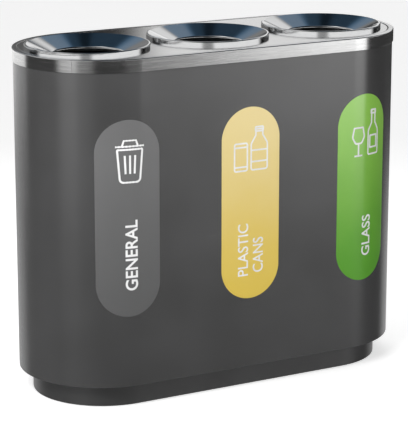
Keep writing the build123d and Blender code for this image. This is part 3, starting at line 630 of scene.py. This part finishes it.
def thick_line(points, radii, sheet, steps=8):
    """Closed outline of a sheet that follows an open line of straights and bends."""
    line = [points[0]]
    for place, radius in enumerate(radii, start=1):
        corner = Vector(points[place])
        before = (Vector(points[place - 1]) - corner).normalized()
        after = (Vector(points[place + 1]) - corner).normalized()
        turn = before.angle(after)
        middle = corner + (before + after).normalized() * (radius / math.sin(turn / 2))
        start = corner + before * (radius / math.tan(turn / 2)) - middle
        end = corner + after * (radius / math.tan(turn / 2)) - middle
        for step in range(steps + 1):
            share = step / steps
            spread = start.angle(end)
            a = math.sin((1 - share) * spread) / math.sin(spread)
            b = math.sin(share * spread) / math.sin(spread)
            line.append(tuple(middle + start * a + end * b))
    line.append(points[-1])
    left, right = [], []
    for place, point in enumerate(line):
        ahead = Vector(line[min(place + 1, len(line) - 1)])
        behind = Vector(line[max(place - 1, 0)])
        way = (ahead - behind).normalized()
        across = Vector((-way.y, way.x)) * sheet / 2
        left.append(tuple(Vector(point) + across))
        right.append(tuple(Vector(point) - across))
    return left + right[::-1]


def make_funnel(stream, x):
    lip, throat, _ = cone_line()
    wall = COLLAR_RADIUS - LID_SHEET / 2
    bottom = throat[1] - SPIGOT_DEPTH
    points = [(wall, DECK_TOP), (wall, lip[1]), lip, throat, (throat[0], bottom)]
    points.append((throat[0] + SPIGOT_FLARE, bottom))
    radii = (LIP_RADIUS, LIP_RADIUS, THROAT_EDGE_RADIUS, LID_SHEET)
    section = thick_line(points, radii, LID_SHEET)
    name = f"spun_funnel_{stream}"
    mesh = spun(name, section, x, FUNNEL_STEEL)
    finished(name, mesh, FUNNEL_STEEL, "lid", [f"funnel_{stream}"])


# ------------------------------------------------------------------ labels

PRINT_SLOTS = {"left": "film_grey", "centre": "film_yellow", "right": "film_green"}


def on_front(distance, height, offset):
    """Point on the shell's front at a distance along it from the middle."""
    beyond = abs(distance) - STRAIGHT
    if beyond <= 0:
        return Vector((distance, -(END_RADIUS + offset), height))
    turn = beyond / END_RADIUS
    x = STRAIGHT + (END_RADIUS + offset) * math.sin(turn)
    return Vector((math.copysign(x, distance), -(END_RADIUS + offset) * math.cos(turn), height))


def make_label(stream, centre):
    """Round-ended film laid on the front, with a softened edge."""
    low, high = (corner.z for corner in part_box(f"label_{stream}"))
    middle, half = (low + high) / 2, (high - low) / 2
    radius = LABEL_WIDTH / 2
    work = bmesh.new()
    rings = []
    edge = ((0, LABEL_GAP), (0, LABEL_SHEET * 0.7), (LABEL_SHEET * 0.5, LABEL_GAP + LABEL_SHEET))
    for inset, offset in edge:
        columns = []
        for step in range(1, LABEL_STEPS):
            across = -(radius - inset) * math.cos(math.pi * step / LABEL_STEPS)
            rise = half - radius + math.sqrt(max(0.0, (radius - inset) ** 2 - across ** 2))
            s = centre + across
            pair = [work.verts.new(on_front(s, middle + side * rise, offset)) for side in (-1, 1)]
            columns.append(pair)
        rings.append(columns)
    for columns, flip in ((rings[0], True), (rings[-1], False)):
        for one, two in zip(columns, columns[1:]):
            face = (one[0], two[0], two[1], one[1])
            work.faces.new(face[::-1] if flip else face)
    for inner, outer in zip(rings, rings[1:]):
        a = [pair[0] for pair in inner] + [pair[1] for pair in reversed(inner)]
        b = [pair[0] for pair in outer] + [pair[1] for pair in reversed(outer)]
        bridge(work, a, b)
    mesh = bpy.data.meshes.new(f"film_{stream}")
    work.to_mesh(mesh)
    work.free()
    finished(f"film_{stream}", mesh, FILMS[stream], "bin", [f"label_{stream}"])


def lay_on_label(mesh, centre):
    """Wraps a flat drawing on the label: X runs along the shell, Y up, Z out of the film."""
    work = bmesh.new()
    work.from_mesh(mesh)
    bmesh.ops.triangulate(work, faces=work.faces)
    for _ in range(3):
        long_edges = [edge for edge in work.edges if edge.calc_length() > PRINT_EDGE]
        bmesh.ops.subdivide_edges(work, edges=long_edges, cuts=1)
        bmesh.ops.triangulate(work, faces=work.faces)
    for vert in work.verts:
        out = LABEL_GAP + LABEL_SHEET + vert.co.z
        vert.co = on_front(centre + vert.co.x, vert.co.y, out)
    work.to_mesh(mesh)
    work.free()


def printed(name, drawing, centre):
    """Turns a flat drawing into thin raised print on its label."""
    graph = bpy.context.evaluated_depsgraph_get()
    mesh = bpy.data.meshes.new_from_object(drawing.evaluated_get(graph), depsgraph=graph)
    mesh.transform(drawing.matrix_world)
    bpy.data.objects.remove(drawing)
    lay_on_label(mesh, centre)
    finished(name, mesh, PRINT_WHITE, "bin", weigh=False)


def lettering(name, words, centre, across, middle, length, height, weight, slot):
    """A word that reads upwards, centred at across and middle."""
    data = bpy.data.curves.new(name, "FONT")
    data.body = words
    data.align_x = "CENTER"
    data.align_y = "CENTER"
    data.offset = weight
    data.extrude = PRINT_RISE
    data.resolution_u = 6
    text = bpy.data.objects.new(name + "_flat", data)
    bpy.context.scene.collection.objects.link(text)
    bpy.context.view_layer.update()
    wide, tall = text.dimensions.x, text.dimensions.y
    text.scale = (length / wide, height / tall, 1.0)
    bpy.context.view_layer.update()
    low = Vector(text.bound_box[0])
    high = Vector(text.bound_box[6])
    text.rotation_euler.z = math.radians(90)
    mid_x = (low.x + high.x) / 2 * text.scale.x
    mid_y = (low.y + high.y) / 2 * text.scale.y
    text.location = (across + mid_y, middle - mid_x, 0.0)
    bpy.context.view_layer.update()
    printed(name, text, centre)


def strokes(name, lines, centre, across, middle, width):
    """Line drawing: each line is a closed flag and its corner points in millimetres."""
    data = bpy.data.curves.new(name, "CURVE")
    data.dimensions = "3D"
    data.bevel_depth = width / 2
    data.bevel_mode = "ROUND"
    data.bevel_resolution = 2
    for closed, points in lines:
        spline = data.splines.new("POLY")
        spline.points.add(len(points) - 1)
        for point, (x, y) in zip(spline.points, points):
            point.co = (x * MM, y * MM, 0.0, 1.0)
        spline.use_cyclic_u = closed
    data.use_fill_caps = True
    drawing = bpy.data.objects.new(name + "_flat", data)
    bpy.context.scene.collection.objects.link(drawing)
    drawing.location = (across, middle, 0.0)
    drawing.scale = (1.0, 1.0, 2 * PRINT_RISE / width)
    bpy.context.view_layer.update()
    printed(name, drawing, centre)


def soft(points, radius, steps=5):
    """Rounds every corner of a closed line; radius is one number or one for each corner."""
    radii = radius if isinstance(radius, (list, tuple)) else [radius] * len(points)
    return rounded(points, radii, steps)


def box_line(left, low, right, high, radius):
    return soft([(left, low), (right, low), (right, high), (left, high)], radius)


def litter_mark():
    """A lidded waste basket."""
    body = soft([(-23, -49), (23, -49), (29, 24), (-29, 24)], [9, 9, 2, 2])
    lid = [(-33, 31), (33, 31)]
    knob = [(-18, 32), (-14, 44), (14, 44), (18, 32)]
    ribs = [(False, [(x, 11), (0.86 * x, -30)]) for x in (-12, 0, 12)]
    return [(True, body), (False, lid), (False, knob)] + ribs


def packaging_mark():
    """A drinks can beside a bottle."""
    can = box_line(-42, -33, -9, 30, 4)
    bands = [(False, [(-42, z), (-9, z)]) for z in (-24, 21)]
    bottle = [(1, -33), (43, -33), (43, 27), (31, 46), (31, 60), (13, 60), (13, 46), (1, 27)]
    bottle = soft(bottle, [5, 5, 12, 5, 1, 1, 5, 12])
    cap = box_line(12, 55, 32, 65, 2)
    wrap = [(False, [(1, 12), (43, 12)]), (False, [(1, -14), (43, -14)])]
    return [(True, can), *bands, (True, bottle), (True, cap), *wrap]


def glass_mark():
    """A stemmed glass beside a tall bottle."""
    bowl = [(-30, 22), (-35, 0), (-26, -15), (-9, -15), (0, 0), (-5, 22)]
    bowl = soft(bowl, [1, 12, 7, 7, 12, 1])
    stem = [(-17.5, -14), (-17.5, -44)]
    foot = [(-29, -44), (-6, -44)]
    bottle = [(12, -44), (46, -44), (46, 12), (35, 30), (35, 60), (23, 60), (23, 30), (12, 12)]
    bottle = soft(bottle, [4, 4, 14, 6, 1, 1, 6, 14])
    ring = box_line(21, 52, 37, 60, 1.5)
    paper = box_line(18, -28, 40, 0, 1)
    lines = [(True, bowl), (False, stem), (False, foot)]
    return lines + [(True, bottle), (True, ring), (True, paper)]


def print_labels():
    left, centre, right = (STREAMS[stream] for stream in ("left", "centre", "right"))
    drawings = {
        "left": (litter_mark(), left, 4, 572, 4.6),
        "centre": (packaging_mark(), centre, 0, 550, 3.8),
        "right": (glass_mark(), right, 0, 562, 4.4),
    }
    for stream, (lines, middle, across, height, width) in drawings.items():
        slot = PRINT_SLOTS[stream]
        strokes(f"mark_{stream}", lines, middle, across * MM, height * MM, width * MM)
    words = [
        ("left", "GENERAL", left, 6, 358, 160, 29, 0.018),
        ("centre", "PLASTIC", centre, -19, 333, 122, 27, 0.008),
        ("centre_lower", "CANS", centre, 20, 318, 82, 27, 0.008),
        ("right", "GLASS", right, 10, 325, 98, 27, 0.014),
    ]
    for name, word, middle, across, height, length, tall, weight in words:
        slot = PRINT_SLOTS[name.split("_")[0]]
        sizes = [value * MM for value in (across, height, length, tall)]
        lettering(f"word_{name}", word, middle, *sizes, weight, slot)


make_plinth()
make_shell()
make_rim()
make_deck()
for stream, stream_x in STREAMS.items():
    make_funnel(stream, stream_x)
    make_label(stream, stream_x)
print_labels()


# ------------------------------------------------------------------ carried-over pieces

def paint(material, *names):
    for name in names:
        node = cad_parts[name]
        node.data.materials.clear()
        node.data.materials.append(material)


paint(ZINC_SHEET, "floor_pan", "anchor_sleeves", "foot_bosses")
paint(ZINC_SHEET, "seam_strip", "mouth_stiffener", "lid_frame")
paint(ZINC_BRIGHT, "plinth_bolts", "plinth_nuts", "foot_studs", "foot_locknuts", "guide_screws")
paint(ZINC_BRIGHT, "funnel_studs", "funnel_nuts")
paint(NYLON, "foot_pads", "lid_guides")
paint(RUBBER, "edge_trim")
paint(SHELL_COAT, "seam_rivets")
for stream in STREAMS:
    paint(ZINC_SHEET, f"clamp_ring_{stream}", f"locating_ring_{stream}", f"liner_{stream}")
    paint(ZINC_SHEET, f"handle_eyes_{stream}")
    paint(DECK_STEEL, f"bag_ring_{stream}")
    paint(ZINC_BRIGHT, f"eye_rivets_{stream}", f"handle_{stream}_front", f"handle_{stream}_back")


# ------------------------------------------------------------------ studio

SENSOR_WIDTH = 36.0
LENS = 173.4
CAMERA_PLACE = (-2.3032, -4.0942, 1.5541)
CAMERA_TURN, CAMERA_TILT = math.radians(29.26), math.radians(14.14)
FLOOR_GLOW = 0.6
FLOOR_REACH = 14.0
SKY_LIGHT = 0.34


def make_camera():
    """Long lens from the front left, a little above the lid."""
    data = bpy.data.cameras.new("camera")
    data.sensor_width = SENSOR_WIDTH
    data.lens = LENS
    camera = bpy.data.objects.new("camera", data)
    bpy.context.scene.collection.objects.link(camera)
    camera.location = CAMERA_PLACE
    level, drop = math.cos(CAMERA_TILT), math.sin(CAMERA_TILT)
    ahead = Vector((math.sin(CAMERA_TURN) * level, math.cos(CAMERA_TURN) * level, -drop))
    camera.rotation_mode = "QUATERNION"
    camera.rotation_quaternion = ahead.to_track_quat("-Z", "Y")
    bpy.context.scene.camera = camera


def soft_light(name, place, target, size, power):
    data = bpy.data.lights.new(name, "AREA")
    data.shape = "RECTANGLE"
    data.size, data.size_y = size
    data.energy = power
    lamp = bpy.data.objects.new(name, data)
    bpy.context.scene.collection.objects.link(lamp)
    lamp.location = place
    lamp.rotation_mode = "QUATERNION"
    lamp.rotation_quaternion = (Vector(target) - Vector(place)).to_track_quat("-Z", "Y")
    return lamp


def make_floor():
    f = Finish("floor_paper")
    cloud = f.noise(size=1.5, detail=2.0)
    base = f.mix(cloud, grey(0.86), grey(0.88))
    sockets = {"Base Color": base, "Roughness": 0.9, "Emission Color": grey(1.0)}
    sockets["Emission Strength"] = FLOOR_GLOW
    material = f.surface(sockets, cloud, 0.02)
    work = bmesh.new()
    bmesh.ops.create_grid(work, x_segments=2, y_segments=2, size=FLOOR_REACH)
    mesh = bpy.data.meshes.new("floor")
    work.to_mesh(mesh)
    work.free()
    mesh.materials.append(material)
    floor = bpy.data.objects.new("floor", mesh)
    bpy.context.scene.collection.objects.link(floor)
    floor.visible_glossy = False


def make_surroundings():
    """White for the eye, soft white for diffuse light, and studio panels for the metal."""
    world = bpy.data.worlds.new("studio")
    bpy.context.scene.world = world
    f = Finish("studio", world)
    way = f.add("ShaderNodeTexCoord", output="Generated")
    x = f.add("ShaderNodeSeparateXYZ", None, {0: way})
    y, z = x.beside("Y"), x.beside("Z")
    level_run = (x * x + y * y) ** 0.5

    def sector(start, end, soft):
        """1 between two azimuths in degrees, measured from -Y and positive towards +X."""
        middle, half = math.radians(start + end) / 2, (end - start) / 2
        toward = (x * math.sin(middle) - y * math.cos(middle)) / level_run
        outer, inner = math.cos(math.radians(half + soft)), math.cos(math.radians(half - soft))
        return f.smooth(toward, outer, inner)

    def rise(low, high):
        """0 below one elevation and 1 above another, in degrees."""
        return f.smooth(z, math.sin(math.radians(low)), math.sin(math.radians(high)))

    below, above = 1 - rise(-1, 1), rise(-1, 1)
    # What the upright sheets see: they look a little downwards.
    front = 1.9 * sector(30.9, 53, 2.6) + 0.12 * sector(8, 30, 8)
    left = 0.75 * sector(-80, -62, 8) + 0.3 * sector(-62, -42, 10)
    behind = 1.1 * sector(156, 220, 3)
    back = (0.6 * sector(104, 205, 10) + 0.09 * sector(205, 262, 14)) * (1 - rise(-15, -11))
    lower = 0.045 + (front + left + behind) * rise(-14, -9.2) + back * rise(-45, -20)
    # What the lid's flat deck and the funnels see.
    card = 0.87 * sector(140, 152.4, 0.8) * (1 - rise(14, 18))
    wedge = 0.85 * sector(104, 141, 3) * rise(10, 16) * (1 - rise(30, 37))
    rear = 0.22 * sector(156, 205, 3) * (1 - rise(29, 43))
    over = (1.35 * sector(-125, 85, 8) - 0.9 * sector(-37, -20, 6)) * (1 - rise(13, 18))
    glow = 0.19 * sector(112, 139, 4) * (1 - rise(50, 55))
    glow = glow + 0.035 * sector(112, 146, 4) + 0.03 * sector(158, 185, 4)
    aside = 0.45 * sector(181, 264, 5) * rise(12, 20)
    overhead = 0.8 * sector(176, 290, 6) * rise(57, 61) * (1 - rise(66, 71)) + 0.1 * rise(66, 74)
    upper = 0.012 + card + wedge + rear + over + glow * rise(30, 36) + aside + overhead
    tint = (0.5, 1.0, 1.6, 1.0)
    level = below * lower + above * upper
    navy = (1 - f.smooth(level, 0.05, 0.45)) * rise(16, 26) * sector(96, 196, 8)
    colour = f.mix(navy, grey(1.0), tint)
    reflected = f.add("ShaderNodeBackground", None, {"Color": colour, "Strength": level})
    soft = f.add("ShaderNodeBackground", None, {"Color": grey(1.0), "Strength": SKY_LIGHT})
    seen = f.add("ShaderNodeBackground", None, {"Color": grey(1.0), "Strength": 1.0})
    is_camera = f.add("ShaderNodeLightPath", output="Is Camera Ray")
    is_glossy = is_camera.beside("Is Glossy Ray")
    result = f.add("ShaderNodeMixShader", None, {0: is_glossy, 1: soft, 2: reflected})
    result = f.add("ShaderNodeMixShader", None, {0: is_camera, 1: result, 2: seen})
    f.add("ShaderNodeOutputWorld", None, {"Surface": result})


make_camera()
make_floor()
make_surroundings()
key = soft_light("key", (-1.5, -1.1, 1.5), (-0.2, -0.2, 0.7), (1.0, 0.6), 30.0)
fill = soft_light("fill", (0.7, 1.5, 1.5), (0.1, 0.2, 0.6), (1.6, 0.6), 12.0)
for lamp in (key, fill):
    lamp.visible_glossy = False
    lamp.visible_camera = False
bpy.context.scene.view_settings.view_transform = "Standard"
